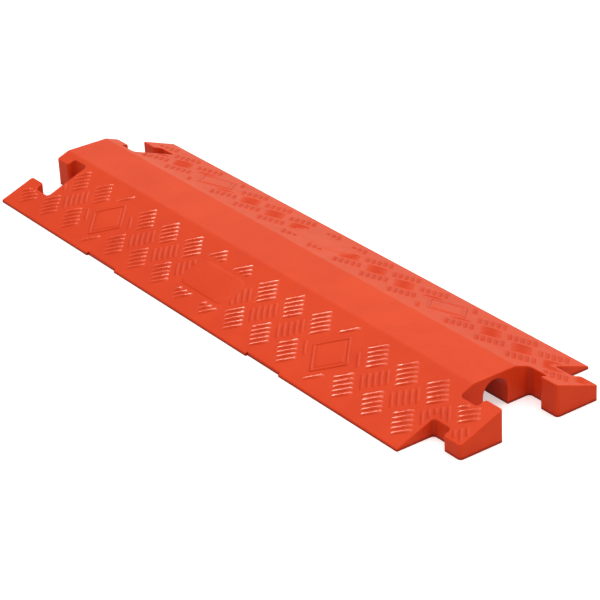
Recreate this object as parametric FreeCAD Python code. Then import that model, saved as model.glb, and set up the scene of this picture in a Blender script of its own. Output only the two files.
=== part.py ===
import FreeCAD, Part
import math
import os

# Drop-over cable protector ramp, one straight module. +X runs along the cable, +Y points to the
# rear ramp and +Z up. The origin is on the floor under the middle of the whole module, lugs included.
# The real module is one moulding: each node is a named region of it, cut face to face.

# Driving dimensions, millimetres
MODULE_LENGTH = 914.4
OVERALL_WIDTH = 297.0
CROWN_HEIGHT = 47.0
CROWN_WIDTH = 64.0
CROWN_EDGE_RADIUS = 14.0
TOE_THICKNESS = 3.5
TOE_RADIUS = 2.0
TOE_STRIP = 14.0

CHANNEL_WIDTH = 38.0
CHANNEL_HEIGHT = 41.5

LUG_LENGTH = 62.4
NECK_LENGTH = 31.4
HEAD_INNER = 41.0
HEAD_OUTER = 106.0
NECK_INNER = 53.5
NECK_OUTER = 93.5
FIT_CLEARANCE = 1.1
CONVEX_RADIUS = 4.5
CONCAVE_RADIUS = 5.0
TOP_EDGE_RADIUS = 1.5

NOTCH_LENGTH = 70.0
NOTCH_DEPTH = 3.0
NOTCH_OFFSET = 189.0

TREAD_PITCH = 57.15
TREAD_MIDDLE = 62.5
BARS_PER_GROUP = 5
BAR_LENGTH = 27.0
BAR_WIDTH = 4.0
BAR_HEIGHT = 1.5
SHORTEST_BAR = 9.0
EDGE_MARGIN = 4.0

EMBLEM_OFFSET = 4.5 * TREAD_PITCH
EMBLEM_MIDDLE = 64.0
EMBLEM_SIDE = 50.0
EMBLEM_LINE = 3.5
EMBLEM_HEIGHT = 1.0
EMBLEM_CLEAR = 30.0
PANEL_LENGTH = 96.0
PANEL_WIDTH = 46.0
PANEL_RADIUS = 12.0
PANEL_CLEAR_X = 52.0
PANEL_CLEAR_S = 30.0
PANEL_HEIGHT = 0.5

# Derived dimensions
HALF_WIDTH = OVERALL_WIDTH / 2
HALF_CROWN = CROWN_WIDTH / 2
TOTAL_LENGTH = MODULE_LENGTH + LUG_LENGTH
X_TIP = TOTAL_LENGTH / 2
X_LEFT = -X_TIP
X_RIGHT = X_LEFT + MODULE_LENGTH
X_MIDDLE = (X_LEFT + X_RIGHT) / 2
X_HOOK_BACK = X_LEFT + NECK_LENGTH - FIT_CLEARANCE
X_SOCKET_END = X_LEFT + LUG_LENGTH + FIT_CLEARANCE
X_NECK_END = X_RIGHT + NECK_LENGTH
Y_TOE = HALF_WIDTH - TOE_STRIP
Y_NOTCH = NOTCH_DEPTH - HALF_WIDTH
THROAT_INNER = NECK_INNER - FIT_CLEARANCE
THROAT_OUTER = NECK_OUTER + FIT_CLEARANCE
CAVITY_INNER = HEAD_INNER - FIT_CLEARANCE
CAVITY_OUTER = HEAD_OUTER + FIT_CLEARANCE
LUG_CENTRE = (NECK_INNER + NECK_OUTER) / 2
RAMP_ANGLE = math.atan2(CROWN_HEIGHT - TOE_THICKNESS, HALF_WIDTH - HALF_CROWN)
BAR_PITCH = TREAD_PITCH / math.sqrt(2) / BARS_PER_GROUP


def rounded_face(corners, to_point):
    """Flat face through (u, v, radius) corners; a corner with a radius becomes a tangent arc."""
    count = len(corners)
    arcs = []
    for i, (u, v, radius) in enumerate(corners):
        here = FreeCAD.Vector(u, v, 0)
        back = (FreeCAD.Vector(*corners[i - 1][:2], 0) - here).normalize()
        ahead = (FreeCAD.Vector(*corners[(i + 1) % count][:2], 0) - here).normalize()
        half_angle = back.getAngle(ahead) / 2
        reach = radius / math.tan(half_angle)
        inward = (back + ahead).normalize() if radius else FreeCAD.Vector(0, 0, 0)
        middle = here + inward * (radius / math.sin(half_angle) - radius)
        arcs.append([to_point(p.x, p.y) for p in (here + back * reach, middle, here + ahead * reach)])
    edges = []
    for i, (start, middle, end) in enumerate(arcs):
        if corners[i][2]:
            edges.append(Part.Arc(start, middle, end).toShape())
        edges.append(Part.makeLine(end, arcs[(i + 1) % count][0]))
    return Part.Face(Part.Wire(edges))


def box(x0, x1, y0, y1, z0=0.0, z1=CROWN_HEIGHT):
    return Part.makeBox(x1 - x0, y1 - y0, z1 - z0, FreeCAD.Vector(x0, y0, z0))


def mirrored(shape):
    return shape.mirror(FreeCAD.Vector(0, 0, 0), FreeCAD.Vector(0, 1, 0))


def section_prism():
    """The cross-section, toe to toe, drawn out over the whole length."""
    corners = [
        (-HALF_WIDTH, 0, 0),
        (HALF_WIDTH, 0, 0),
        (HALF_WIDTH, TOE_THICKNESS, TOE_RADIUS),
        (HALF_CROWN, CROWN_HEIGHT, CROWN_EDGE_RADIUS),
        (-HALF_CROWN, CROWN_HEIGHT, CROWN_EDGE_RADIUS),
        (-HALF_WIDTH, TOE_THICKNESS, TOE_RADIUS),
    ]
    face = rounded_face(corners, lambda y, z: FreeCAD.Vector(X_LEFT, y, z))
    return face.extrude(FreeCAD.Vector(TOTAL_LENGTH, 0, 0))


def plan_prism():
    """The plan view: two T-shaped lugs on the right end and their two sockets in the left end."""
    convex = CONVEX_RADIUS
    concave = CONCAVE_RADIUS
    front_half = [
        (X_LEFT, 0, 0),
        (X_LEFT, -THROAT_INNER, convex),
        (X_HOOK_BACK, -THROAT_INNER, convex),
        (X_HOOK_BACK, -CAVITY_INNER, concave),
        (X_SOCKET_END, -CAVITY_INNER, concave),
        (X_SOCKET_END, -CAVITY_OUTER, concave),
        (X_HOOK_BACK, -CAVITY_OUTER, concave),
        (X_HOOK_BACK, -THROAT_OUTER, convex),
        (X_LEFT, -THROAT_OUTER, convex),
        (X_LEFT, -HALF_WIDTH, 0),
        (X_RIGHT, -HALF_WIDTH, 0),
        (X_RIGHT, -NECK_OUTER, concave),
        (X_NECK_END, -NECK_OUTER, concave),
        (X_NECK_END, -HEAD_OUTER, convex),
        (X_TIP, -HEAD_OUTER, convex),
        (X_TIP, -HEAD_INNER, convex),
        (X_NECK_END, -HEAD_INNER, convex),
        (X_NECK_END, -NECK_INNER, concave),
        (X_RIGHT, -NECK_INNER, concave),
        (X_RIGHT, 0, 0),
    ]
    face = rounded_face(front_half, lambda x, y: FreeCAD.Vector(x, y, 0))
    front = face.extrude(FreeCAD.Vector(0, 0, CROWN_HEIGHT))
    return front.fuse(mirrored(front)).removeSplitter()


def channel_prism():
    """The cable channel: straight walls, a half-round roof and no floor."""
    radius = CHANNEL_WIDTH / 2
    spring = CHANNEL_HEIGHT - radius
    floor_front = FreeCAD.Vector(X_LEFT, -radius, 0)
    floor_rear = FreeCAD.Vector(X_LEFT, radius, 0)
    spring_front = FreeCAD.Vector(X_LEFT, -radius, spring)
    spring_rear = FreeCAD.Vector(X_LEFT, radius, spring)
    crest = FreeCAD.Vector(X_LEFT, 0, CHANNEL_HEIGHT)
    edges = [
        Part.makeLine(floor_front, floor_rear),
        Part.makeLine(floor_rear, spring_rear),
        Part.Arc(spring_rear, crest, spring_front).toShape(),
        Part.makeLine(spring_front, floor_front),
    ]
    return Part.Face(Part.Wire(edges)).extrude(FreeCAD.Vector(TOTAL_LENGTH, 0, 0))


def is_upper_outline_edge(edge):
    """Edges where the upper surface meets an end, lug or socket wall; not the long toe and crown edges."""
    middle = edge.valueAt((edge.FirstParameter + edge.LastParameter) / 2)
    on_floor = edge.BoundBox.ZMin < 0.01
    runs_along = edge.BoundBox.XLength > MODULE_LENGTH / 2
    at_channel = abs(middle.y) <= CHANNEL_WIDTH / 2 + 0.1 and middle.z <= CHANNEL_HEIGHT + 0.1
    at_toe_nose = abs(middle.y) > HALF_WIDTH - TOE_RADIUS
    return not (on_floor or runs_along or at_channel or at_toe_nose)


def is_upper_notch_edge(edge):
    """Edges where the ramp meets the back wall of a notch in the front toe."""
    at_back_wall = abs(edge.CenterOfMass.y - Y_NOTCH) < 0.01
    is_long = edge.BoundBox.XLength > NOTCH_LENGTH / 2
    return at_back_wall and is_long and edge.BoundBox.ZMin > 0.01


def moulding():
    """The whole module as one solid, before it is cut into its named regions."""
    body = section_prism().common(plan_prism()).cut(channel_prism()).Solids[0]
    body = body.makeFillet(TOP_EDGE_RADIUS, [e for e in body.Edges if is_upper_outline_edge(e)])
    for side in (-1, 1):
        middle = X_MIDDLE + side * NOTCH_OFFSET
        body = body.cut(box(middle - NOTCH_LENGTH / 2, middle + NOTCH_LENGTH / 2, -HALF_WIDTH, Y_NOTCH))
    return body.makeFillet(TOE_RADIUS, [e for e in body.Edges if is_upper_notch_edge(e)])


def regions():
    """Region name to the block of space that it takes; the blocks meet and don't overlap."""
    hook = box(X_LEFT, X_HOOK_BACK + CONCAVE_RADIUS, LUG_CENTRE, CAVITY_OUTER)
    boxes = {
        "crown_arch": box(X_SOCKET_END, X_RIGHT, -HALF_CROWN, HALF_CROWN),
        "end_tongue_head": box(X_LEFT, X_HOOK_BACK, -LUG_CENTRE, LUG_CENTRE),
        "end_tongue_neck": box(X_HOOK_BACK, X_SOCKET_END, -LUG_CENTRE, LUG_CENTRE),
    }
    rear_boxes = {
        "toe_edge": box(X_LEFT, X_RIGHT, Y_TOE, HALF_WIDTH),
        "ramp": box(X_SOCKET_END, X_RIGHT, HALF_CROWN, Y_TOE),
        "lug_neck": box(X_RIGHT, X_NECK_END, HALF_CROWN, Y_TOE),
        "lug_head": box(X_NECK_END, X_TIP, HALF_CROWN, Y_TOE),
        "socket_hook": hook,
        "socket_shoulder": box(X_LEFT, X_SOCKET_END, LUG_CENTRE, Y_TOE).cut(hook),
    }
    for name, shape in rear_boxes.items():
        boxes["front_" + name] = mirrored(shape)
        boxes["rear_" + name] = shape
    return boxes


def ramp_placement(x, s, turn):
    """Place on the rear ramp: s is the distance down the slope from the crown, turn is in its plane."""
    y = HALF_CROWN + s * math.cos(RAMP_ANGLE)
    z = CROWN_HEIGHT - s * math.sin(RAMP_ANGLE)
    tilt = FreeCAD.Rotation(FreeCAD.Vector(1, 0, 0), -math.degrees(RAMP_ANGLE))
    spin = FreeCAD.Rotation(FreeCAD.Vector(0, 0, 1), turn)
    return FreeCAD.Placement(FreeCAD.Vector(x, y, z), tilt.multiply(spin))


def tread_fields():
    """Rectangles of the upper surface, x0, x1, y0, y1, that carry tread; neighbours overlap."""
    lap = CONCAVE_RADIUS + EDGE_MARGIN
    return [
        (X_SOCKET_END, X_RIGHT, HALF_CROWN, HALF_WIDTH),
        (X_LEFT, X_SOCKET_END + 2 * lap, CAVITY_OUTER, HALF_WIDTH),
        (X_RIGHT - 2 * lap, X_NECK_END + 2 * lap, NECK_INNER, NECK_OUTER),
        (X_NECK_END, X_TIP, HEAD_INNER, HEAD_OUTER),
    ]


def carries_tread(x, s):
    y = HALF_CROWN + s * math.cos(RAMP_ANGLE)
    from_middle = abs(x - X_MIDDLE)
    if from_middle < PANEL_CLEAR_X and abs(s - TREAD_MIDDLE) < PANEL_CLEAR_S:
        return False
    across = from_middle - EMBLEM_OFFSET
    down = s - EMBLEM_MIDDLE
    if max(abs(across + down), abs(across - down)) / math.sqrt(2) < EMBLEM_CLEAR:
        return False
    margin = EDGE_MARGIN
    return any(x0 + margin < x < x1 - margin and y0 + margin < y < y1 - margin
               for x0, x1, y0, y1 in tread_fields())


def bar(x, s, turn):
    """One raised tread bar on the rear ramp, cut short where it would leave the tread; or None."""
    step_x = math.cos(math.radians(turn))
    step_s = math.sin(math.radians(turn))
    reaches = [t - BAR_LENGTH / 2 for t in range(int(BAR_LENGTH) + 1)]
    kept = [t for t in reaches if carries_tread(x + t * step_x, s + t * step_s)]
    if not kept or kept[-1] - kept[0] < SHORTEST_BAR:
        return None
    middle = (kept[0] + kept[-1]) / 2
    half_run = (kept[-1] - kept[0] - BAR_WIDTH) / 2
    half_width = BAR_WIDTH / 2
    corners = [FreeCAD.Vector(sx * half_run, sy * half_width, 0)
               for sx, sy in ((-1, -1), (1, -1), (1, 1), (-1, 1))]
    right_end = FreeCAD.Vector(half_run + half_width, 0, 0)
    wire = Part.Wire([
        Part.makeLine(corners[0], corners[1]),
        Part.Arc(corners[1], right_end, corners[2]).toShape(),
        Part.makeLine(corners[2], corners[3]),
        Part.Arc(corners[3], -right_end, corners[0]).toShape(),
    ])
    solid = Part.Face(wire).extrude(FreeCAD.Vector(0, 0, BAR_HEIGHT))
    solid.Placement = ramp_placement(x + middle * step_x, s + middle * step_s, turn)
    return solid


def tread_row(s, first_x, turn):
    """Five-bar groups one pitch apart, all lying one way, from the left end to the lug tips."""
    bars = []
    across = math.sin(math.radians(turn))
    along = math.cos(math.radians(turn))
    for column in range(-9, 11):
        for k in range(BARS_PER_GROUP):
            offset = (k - (BARS_PER_GROUP - 1) / 2) * BAR_PITCH
            solid = bar(first_x + column * TREAD_PITCH - offset * across, s + offset * along, turn)
            if solid:
                bars.append(solid)
    return bars


def rear_tread():
    """Row name to its bars. The middle row lies the other way, half a pitch along: a basket weave."""
    half = TREAD_PITCH / 2
    return {
        "upper_tread": tread_row(TREAD_MIDDLE - half, X_MIDDLE - half, -45),
        "middle_tread": tread_row(TREAD_MIDDLE, X_MIDDLE, 45),
        "lower_tread": tread_row(TREAD_MIDDLE + half, X_MIDDLE - half, -45),
    }


def diamond_frames():
    """Two raised diamond outlines, blank inside."""
    frames = []
    for side in (-1, 1):
        half = EMBLEM_SIDE / 2
        inside = half - EMBLEM_LINE
        ring = box(-half, half, -half, half, 0, EMBLEM_HEIGHT)
        ring = ring.cut(box(-inside, inside, -inside, inside, 0, EMBLEM_HEIGHT))
        ring.Placement = ramp_placement(X_MIDDLE + side * EMBLEM_OFFSET, EMBLEM_MIDDLE, 45)
        frames.append(ring)
    return frames


def centre_panel():
    """A blank raised panel in the middle of the ramp."""
    half_x = PANEL_LENGTH / 2
    half_s = PANEL_WIDTH / 2
    corners = [(sx * half_x, sy * half_s, PANEL_RADIUS)
               for sx, sy in ((-1, -1), (1, -1), (1, 1), (-1, 1))]
    panel = rounded_face(corners, lambda u, v: FreeCAD.Vector(u, v, 0))
    panel = panel.extrude(FreeCAD.Vector(0, 0, PANEL_HEIGHT))
    panel.Placement = ramp_placement(X_MIDDLE, TREAD_MIDDLE, 0)
    return panel


def save(name, shape):
    print(f"{name}: {len(shape.Solids)} solids, {shape.Volume:.0f} mm3, valid {shape.isValid()}")
    shape.exportStep(f"parts/{name}.step")


def main():
    os.makedirs("parts", exist_ok=True)
    whole = moulding()
    pieces = {name: whole.common(block) for name, block in regions().items()}
    for name, piece in pieces.items():
        save(name, piece)
    left_out = whole.Volume - sum(piece.Volume for piece in pieces.values())
    print(f"whole moulding {whole.Volume:.0f} mm3, left out of the regions {left_out:.3f} mm3")
    relief = {name: Part.makeCompound(bars) for name, bars in rear_tread().items()}
    relief["diamond_frames"] = Part.makeCompound(diamond_frames())
    relief["centre_panel"] = centre_panel()
    for name, shape in relief.items():
        save("rear_" + name, shape)
        save("front_" + name, mirrored(shape))


main()
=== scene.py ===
"""Looks of the drop-over cable protector ramp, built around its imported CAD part.

The moulding's own nodes stay. The raised tread bars, diamonds and centre panels stand on the ramps, and
each is rebuilt here as a fine rounded mesh in the place and at the size that its CAD solid has.
"""

import math

import bmesh
import bpy
import numpy as np
from mathutils import Matrix, Vector


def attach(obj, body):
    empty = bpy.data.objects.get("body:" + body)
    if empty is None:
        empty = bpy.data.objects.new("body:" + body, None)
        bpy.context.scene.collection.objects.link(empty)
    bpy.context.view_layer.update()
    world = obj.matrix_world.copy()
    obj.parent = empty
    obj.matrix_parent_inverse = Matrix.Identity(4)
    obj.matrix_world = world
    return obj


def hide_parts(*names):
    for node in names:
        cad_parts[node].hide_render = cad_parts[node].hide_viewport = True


MM = 0.001
BODY = "root"

# Relief profiles: steps from the CAD outline inwards, and heights above the ramp, both in millimetres.
# The first step lies under the ramp's surface, so that each piece grows out of it.
SUNK = -0.4
BAR_PROFILE = (
    (-1.1, SUNK), (-0.8, 0.03), (-0.5, 0.15), (-0.2, 0.32), (0.1, 0.5), (0.4, 0.66),
    (0.7, 0.82), (1.0, 0.96), (1.3, 1.08), (1.6, 1.18), (1.8, 1.22), (1.95, 1.24),
)
BAR_END_DROP = 0.8
SIDE_STEPS = 6
DIAMOND_PROFILE = (
    (-0.9, SUNK), (-0.6, 0.04), (-0.2, 0.25), (0.2, 0.5), (0.6, 0.7), (1.0, 0.85),
    (1.4, 0.95), (1.8, 1.0), (2.2, 0.97), (2.6, 0.88), (3.0, 0.7), (3.4, 0.4),
    (4.0, 0.15), (5.2, 0.12), (6.0, 0.3), (6.6, 0.55), (7.6, 0.62),
)
PANEL_PROFILE = ((-1.6, SUNK), (-1.2, 0.02), (-0.4, 0.12), (0.6, 0.34), (1.6, 0.46), (3.0, 0.5))
DIAMOND_CORNER = 2.5
PANEL_CORNER = 12.0
DIAMOND_TURN = math.radians(45)
LEAST_RADIUS = 0.1
CORNER_STEPS = 5
WELD = 0.005 * MM
# Painted shade: reach of the ambient occlusion that darkens the base colour in crevices
CREVICE_SHADE_REACH = 5.0 * MM

# Surface texture: noise scales in cycles a metre, and depths of the bumps
MOTTLE_SCALE = 14.0
SMEAR_SCALE = 45.0
WAVE_SCALE = 22.0
WAVE_DEPTH = 0.6 * MM
WAVE_STRENGTH = 0.35
GRAIN_SCALE = 1400.0
GRAIN_DEPTH = 0.02 * MM

# Colours are linear
ORANGE = (0.77, 0.064, 0.015)
DEEP_ORANGE = (0.72, 0.054, 0.013)
# Painted shade: the deep red that the base colour darkens to in crevices and near other pieces
CREVICE_SHADE_RED = (0.36, 0.022, 0.008)
SPECULAR_TINT = (1.0, 0.7, 0.52)
FLOOR_WHITE = (0.86, 0.86, 0.86)
FLOOR_GLOW = 0.5
WARM_WHITE = (1.0, 0.8, 0.72)
SUNNY_WHITE = (1.0, 0.9, 0.6)
WORLD_STRENGTH = 0.38

CAMERA_AIM = Vector((0.0459, -0.0076, 0.0))
CAMERA_AZIMUTH = math.radians(55.18)
CAMERA_ELEVATION = math.radians(27.30)
CAMERA_ROLL = math.radians(-3.09)
CAMERA_DISTANCE = 2.9414
CAMERA_LENS = 135.78
CAMERA_SENSOR = 36.0

FLOOR_SIZE = 60.0


def loose_solids(mesh):
    """The points of each separate solid in a mesh, one array a solid."""
    welded = bmesh.new()
    welded.from_mesh(mesh)
    bmesh.ops.remove_doubles(welded, verts=welded.verts, dist=WELD)
    seen = set()
    solids = []
    for first in welded.verts:
        if first in seen:
            continue
        seen.add(first)
        waiting = [first]
        points = []
        while waiting:
            vert = waiting.pop()
            points.append(vert.co.copy())
            for edge in vert.link_edges:
                other = edge.other_vert(vert)
                if other not in seen:
                    seen.add(other)
                    waiting.append(other)
        solids.append(np.array(points))
    welded.free()
    return solids


def ramp_axes(mesh):
    """Columns: along the module, across the slope and outward, for the ramp that carries a raised node."""
    outward = max((face.normal for face in mesh.polygons), key=lambda normal: normal.z).normalized()
    along = Vector((1, 0, 0))
    return np.array((along, outward.cross(along), outward)).T


def extent(values):
    return values.min(), values.max()


def relief_frame(points, axes, turn=None):
    """Placement of a raised solid on the ramp, and its half length and half width in mm.

    Without a turn, the solid is laid along its own longest direction.
    """
    flat = points @ axes
    if turn is None:
        spread = flat[:, :2] - flat[:, :2].mean(0)
        longest = np.linalg.svd(spread, full_matrices=False)[2][0]
        turn = math.atan2(longest[1], longest[0])
    spin = np.array(((math.cos(turn), -math.sin(turn), 0), (math.sin(turn), math.cos(turn), 0), (0, 0, 1)))
    turned = axes @ spin
    local = points @ turned
    x0, x1 = extent(local[:, 0])
    y0, y1 = extent(local[:, 1])
    base = turned @ np.array(((x0 + x1) / 2, (y0 + y1) / 2, local[:, 2].min()))
    placement = Matrix.Translation(base) @ Matrix(turned.tolist()).to_4x4()
    return placement, (x1 - x0) / 2 / MM, (y1 - y0) / 2 / MM


def outline(half_length, half_width, radius, inset):
    """A rounded rectangle, stepped in from its full size, in mm. Its long sides are divided into steps."""
    corner = max(radius - inset, LEAST_RADIUS)
    centre_x = half_length - inset - corner
    centre_y = half_width - inset - corner
    points = []
    for quarter, (sx, sy) in enumerate(((1, 1), (-1, 1), (-1, -1), (1, -1))):
        for step in range(CORNER_STEPS):
            angle = math.pi / 2 * (quarter + step / (CORNER_STEPS - 1))
            x = sx * centre_x + corner * math.cos(angle)
            points.append((x, sy * centre_y + corner * math.sin(angle)))
        if quarter in (0, 2):
            side = [sx * centre_x * (1 - 2 * step / SIDE_STEPS) for step in range(1, SIDE_STEPS)]
            points.extend((x, sy * (centre_y + corner)) for x in side)
    return points


def add_relief(mesh, placement, half_length, half_width, radius, profile, end_drop):
    """Adds one closed raised form to a bmesh: rings up the profile, with a cap at each end.

    The end drop is the share of its height that it loses towards its two ends.
    """
    rings = []
    for inset, height in profile:
        ring = []
        for x, y in outline(half_length, half_width, radius, inset):
            kept = 1 - end_drop * (x / half_length) ** 2 if height > 0 else 1
            ring.append(mesh.verts.new(placement @ (Vector((x, y, height * kept)) * MM)))
        rings.append(ring)
    mesh.faces.new(list(reversed(rings[0])))
    mesh.faces.new(rings[-1])
    count = len(rings[0])
    for lower, upper in zip(rings, rings[1:]):
        for i in range(count):
            j = (i + 1) % count
            mesh.faces.new((lower[i], lower[j], upper[j], upper[i]))


def relief_piece(node, profile, material, corner=None, turn=None, end_drop=0.0):
    """One piece that stands for a CAD node of raised solids. Without a corner radius the ends are round."""
    cad_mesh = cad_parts[node].data
    axes = ramp_axes(cad_mesh)
    built = bmesh.new()
    for points in loose_solids(cad_mesh):
        placement, half_length, half_width = relief_frame(points, axes, turn)
        radius = half_width if corner is None else corner
        add_relief(built, placement, half_length, half_width, radius, profile, end_drop)
    for face in built.faces:
        face.smooth = True
    mesh = bpy.data.meshes.new(node + "_relief")
    built.to_mesh(mesh)
    built.free()
    piece = bpy.data.objects.new(node + "_relief", mesh)
    bpy.context.scene.collection.objects.link(piece)
    mesh.materials.append(material)
    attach(piece, BODY)
    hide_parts(node)
    return piece


def noise(nodes, links, coordinates, scale, detail=3.0, roughness=0.5):
    texture = nodes.new("ShaderNodeTexNoise")
    texture.inputs["Scale"].default_value = scale
    texture.inputs["Detail"].default_value = detail
    texture.inputs["Roughness"].default_value = roughness
    links.new(coordinates, texture.inputs["Vector"])
    return texture.outputs["Fac"]


def mapped(nodes, links, value, low, high, to_low=0.0, to_high=1.0):
    remap = nodes.new("ShaderNodeMapRange")
    remap.inputs["From Min"].default_value = low
    remap.inputs["From Max"].default_value = high
    remap.inputs["To Min"].default_value = to_low
    remap.inputs["To Max"].default_value = to_high
    links.new(value, remap.inputs["Value"])
    return remap.outputs["Result"]


def blended(nodes, links, factor, low, high):
    mix = nodes.new("ShaderNodeMix")
    mix.data_type = "RGBA"
    mix.inputs["A"].default_value = (*low, 1)
    mix.inputs["B"].default_value = (*high, 1)
    links.new(factor, mix.inputs["Factor"])
    return mix.outputs["Result"]


def bump(nodes, links, height, distance, strength, beneath=None):
    node = nodes.new("ShaderNodeBump")
    node.inputs["Distance"].default_value = distance
    node.inputs["Strength"].default_value = strength
    links.new(height, node.inputs["Height"])
    if beneath:
        links.new(beneath, node.inputs["Normal"])
    return node.outputs["Normal"]


def polyurethane(name, roughness, specular, grain_strength):
    """Moulded orange polyurethane with slow waves, a fine grain, and painted shade darkening its crevices.

    Its roughness varies in smears between the two values given.
    """
    material = bpy.data.materials.new(name)
    material.use_nodes = True
    nodes = material.node_tree.nodes
    links = material.node_tree.links
    shader = nodes["Principled BSDF"]
    coordinates = nodes.new("ShaderNodeTexCoord").outputs["Object"]

    mottle = mapped(nodes, links, noise(nodes, links, coordinates, MOTTLE_SCALE, 5.0, 0.6), 0.35, 0.65)
    mottled = blended(nodes, links, mottle, DEEP_ORANGE, ORANGE)
    # Painted shade: ambient occlusion darkens the base colour towards deep red in crevices, at the feet of
    # the bars, and close to other pieces and the floor
    occlusion = nodes.new("ShaderNodeAmbientOcclusion")
    occlusion.inputs["Distance"].default_value = CREVICE_SHADE_REACH
    openness = mapped(nodes, links, occlusion.outputs["AO"], 0.65, 1.0)
    shaded = blended(nodes, links, openness, CREVICE_SHADE_RED, ORANGE)
    links.new(mottled, shaded.node.inputs["B"])
    links.new(shaded, shader.inputs["Base Color"])

    smears = noise(nodes, links, coordinates, SMEAR_SCALE, 4.0, 0.6)
    links.new(mapped(nodes, links, smears, 0.3, 0.7, *roughness), shader.inputs["Roughness"])

    slow = noise(nodes, links, coordinates, WAVE_SCALE, 1.0)
    waves = bump(nodes, links, slow, WAVE_DEPTH, WAVE_STRENGTH)
    fine = noise(nodes, links, coordinates, GRAIN_SCALE, 2.0)
    grain = bump(nodes, links, fine, GRAIN_DEPTH, grain_strength, waves)
    links.new(grain, shader.inputs["Normal"])
    shader.inputs["Specular IOR Level"].default_value = specular
    shader.inputs["Specular Tint"].default_value = (*SPECULAR_TINT, 1)
    return material


def paper_floor():
    """Plain white studio paper."""
    material = bpy.data.materials.new("studio_paper")
    material.use_nodes = True
    shader = material.node_tree.nodes["Principled BSDF"]
    shader.inputs["Base Color"].default_value = (*FLOOR_WHITE, 1)
    shader.inputs["Roughness"].default_value = 0.9
    shader.inputs["Specular IOR Level"].default_value = 0.1
    shader.inputs["Emission Color"].default_value = (1, 1, 1, 1)
    shader.inputs["Emission Strength"].default_value = FLOOR_GLOW
    return material


def make_floor():
    half = FLOOR_SIZE / 2
    mesh = bpy.data.meshes.new("floor")
    corners = [(-half, -half, 0), (half, -half, 0), (half, half, 0), (-half, half, 0)]
    mesh.from_pydata(corners, [], [(0, 1, 2, 3)])
    mesh.materials.append(paper_floor())
    floor = bpy.data.objects.new("floor", mesh)
    floor.visible_glossy = False
    bpy.context.scene.collection.objects.link(floor)
    link_light(floor, [floor], "INCLUDE")


def backward(azimuth, elevation):
    """Unit vector from the object to a viewer or lamp. Azimuth 0 stands in front, at -Y, and 90 at +X."""
    flat = math.cos(elevation)
    return Vector((math.sin(azimuth) * flat, -math.cos(azimuth) * flat, math.sin(elevation)))


def facing(back, roll=0.0):
    """Rotation of a camera or lamp whose back points along a unit vector, rolled about it."""
    level = Vector((0, 0, 1)).cross(back).normalized()
    right = level * math.cos(roll) + back.cross(level) * math.sin(roll)
    return Matrix((right, back.cross(right), back)).transposed().to_4x4()


def make_camera():
    data = bpy.data.cameras.new("camera")
    data.lens = CAMERA_LENS
    data.sensor_width = CAMERA_SENSOR
    camera = bpy.data.objects.new("camera", data)
    bpy.context.scene.collection.objects.link(camera)
    back = backward(CAMERA_AZIMUTH, CAMERA_ELEVATION)
    place = Matrix.Translation(CAMERA_AIM + back * CAMERA_DISTANCE)
    camera.matrix_world = place @ facing(back, CAMERA_ROLL)
    bpy.context.scene.camera = camera


def softbox(name, azimuth, elevation, distance, width, height, power, colour):
    data = bpy.data.lights.new(name, "AREA")
    data.color = colour
    data.shape = "RECTANGLE"
    data.size = width
    data.size_y = height
    data.energy = power
    lamp = bpy.data.objects.new(name, data)
    bpy.context.scene.collection.objects.link(lamp)
    back = backward(math.radians(azimuth), math.radians(elevation))
    lamp.matrix_world = Matrix.Translation(back * distance) @ facing(back)
    lamp.visible_camera = False
    return lamp


def link_light(lamp, pieces, state):
    """Makes a lamp or a glowing piece light only some pieces (INCLUDE), or all but some (EXCLUDE)."""
    receivers = bpy.data.collections.new(lamp.name + "_receivers")
    for piece in pieces:
        receivers.objects.link(piece)
    for member in receivers.collection_objects:
        member.light_linking.link_state = state
    lamp.light_linking.receiver_collection = receivers


def sky(azimuth, elevation, strength, softness):
    """A wide, soft overhead source that lights the whole floor evenly."""
    data = bpy.data.lights.new("overhead", "SUN")
    data.energy = strength
    data.angle = softness
    lamp = bpy.data.objects.new("overhead", data)
    bpy.context.scene.collection.objects.link(lamp)
    lamp.matrix_world = facing(backward(math.radians(azimuth), math.radians(elevation)))


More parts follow.
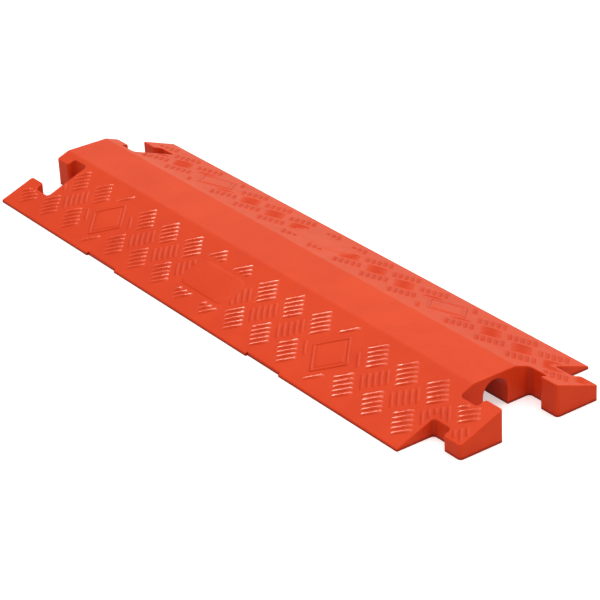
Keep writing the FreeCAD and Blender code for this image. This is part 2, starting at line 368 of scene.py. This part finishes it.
def make_light(glinting, shaded):
    """Light from behind for the sheen and the glints, and weak fills from the front and the right."""
    sky(azimuth=200, elevation=74, strength=2.2, softness=math.radians(70))
    sheen = softbox("sheen", 225, 42, distance=4.0, width=5.0, height=2.5, power=25, colour=SUNNY_WHITE)
    horizon = softbox("horizon", 227, 8, distance=4.0, width=4.0, height=0.8, power=9, colour=SUNNY_WHITE)
    for lamp in (sheen, horizon):
        lamp.visible_diffuse = False
    glint = softbox("glint", 246, 22, distance=1.2, width=0.35, height=0.25, power=5, colour=WARM_WHITE)
    link_light(glint, glinting, "INCLUDE")
    right = softbox("right_fill", 95, 20, distance=3.5, width=2.0, height=1.5, power=8, colour=WARM_WHITE)
    front = softbox("front_fill", 5, 15, distance=3.5, width=2.5, height=1.5, power=9, colour=WARM_WHITE)
    for lamp in (right, front):
        lamp.visible_glossy = False
        link_light(lamp, shaded, "EXCLUDE")
    world = bpy.data.worlds.new("studio")
    world.use_nodes = True
    background = world.node_tree.nodes["Background"]
    background.inputs["Color"].default_value = (*WARM_WHITE, 1)
    background.inputs["Strength"].default_value = WORLD_STRENGTH
    bpy.context.scene.world = world
    bpy.context.scene.view_settings.view_transform = "Standard"


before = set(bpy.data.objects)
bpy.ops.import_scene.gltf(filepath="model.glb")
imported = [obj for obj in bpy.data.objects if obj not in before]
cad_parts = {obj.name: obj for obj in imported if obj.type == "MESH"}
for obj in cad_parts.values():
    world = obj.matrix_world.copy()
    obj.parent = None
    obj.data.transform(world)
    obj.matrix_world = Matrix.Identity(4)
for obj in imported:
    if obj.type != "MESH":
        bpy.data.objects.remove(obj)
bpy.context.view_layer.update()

# The bars that catch the light are smoother than the moulding, and those on the rear ramp duller
satin = polyurethane("moulded_polyurethane", roughness=(0.3, 0.38), specular=0.2, grain_strength=0.5)
polished = polyurethane("polished_polyurethane", roughness=(0.25, 0.31), specular=0.5, grain_strength=0.15)
matt = polyurethane("matt_polyurethane", roughness=(0.4, 0.48), specular=0.1, grain_strength=0.5)
finishes = {
    "front": {"upper": polished, "middle": satin, "lower": polished},
    "rear": {"upper": matt, "middle": matt, "lower": matt},
}
for cad_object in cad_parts.values():
    cad_object.data.materials.clear()
    cad_object.data.materials.append(satin)
glinting = []
shaded = []
for side, rows in finishes.items():
    for row, finish in rows.items():
        tread = relief_piece(f"{side}_{row}_tread", BAR_PROFILE, finish, end_drop=BAR_END_DROP)
        if finish == polished:
            glinting.append(tread)
        if finish == matt:
            shaded.append(tread)
    relief_piece(f"{side}_diamond_frames", DIAMOND_PROFILE, satin, DIAMOND_CORNER, DIAMOND_TURN)
    relief_piece(f"{side}_centre_panel", PANEL_PROFILE, satin, PANEL_CORNER, 0.0)

make_floor()
make_light(glinting, shaded)
make_camera()
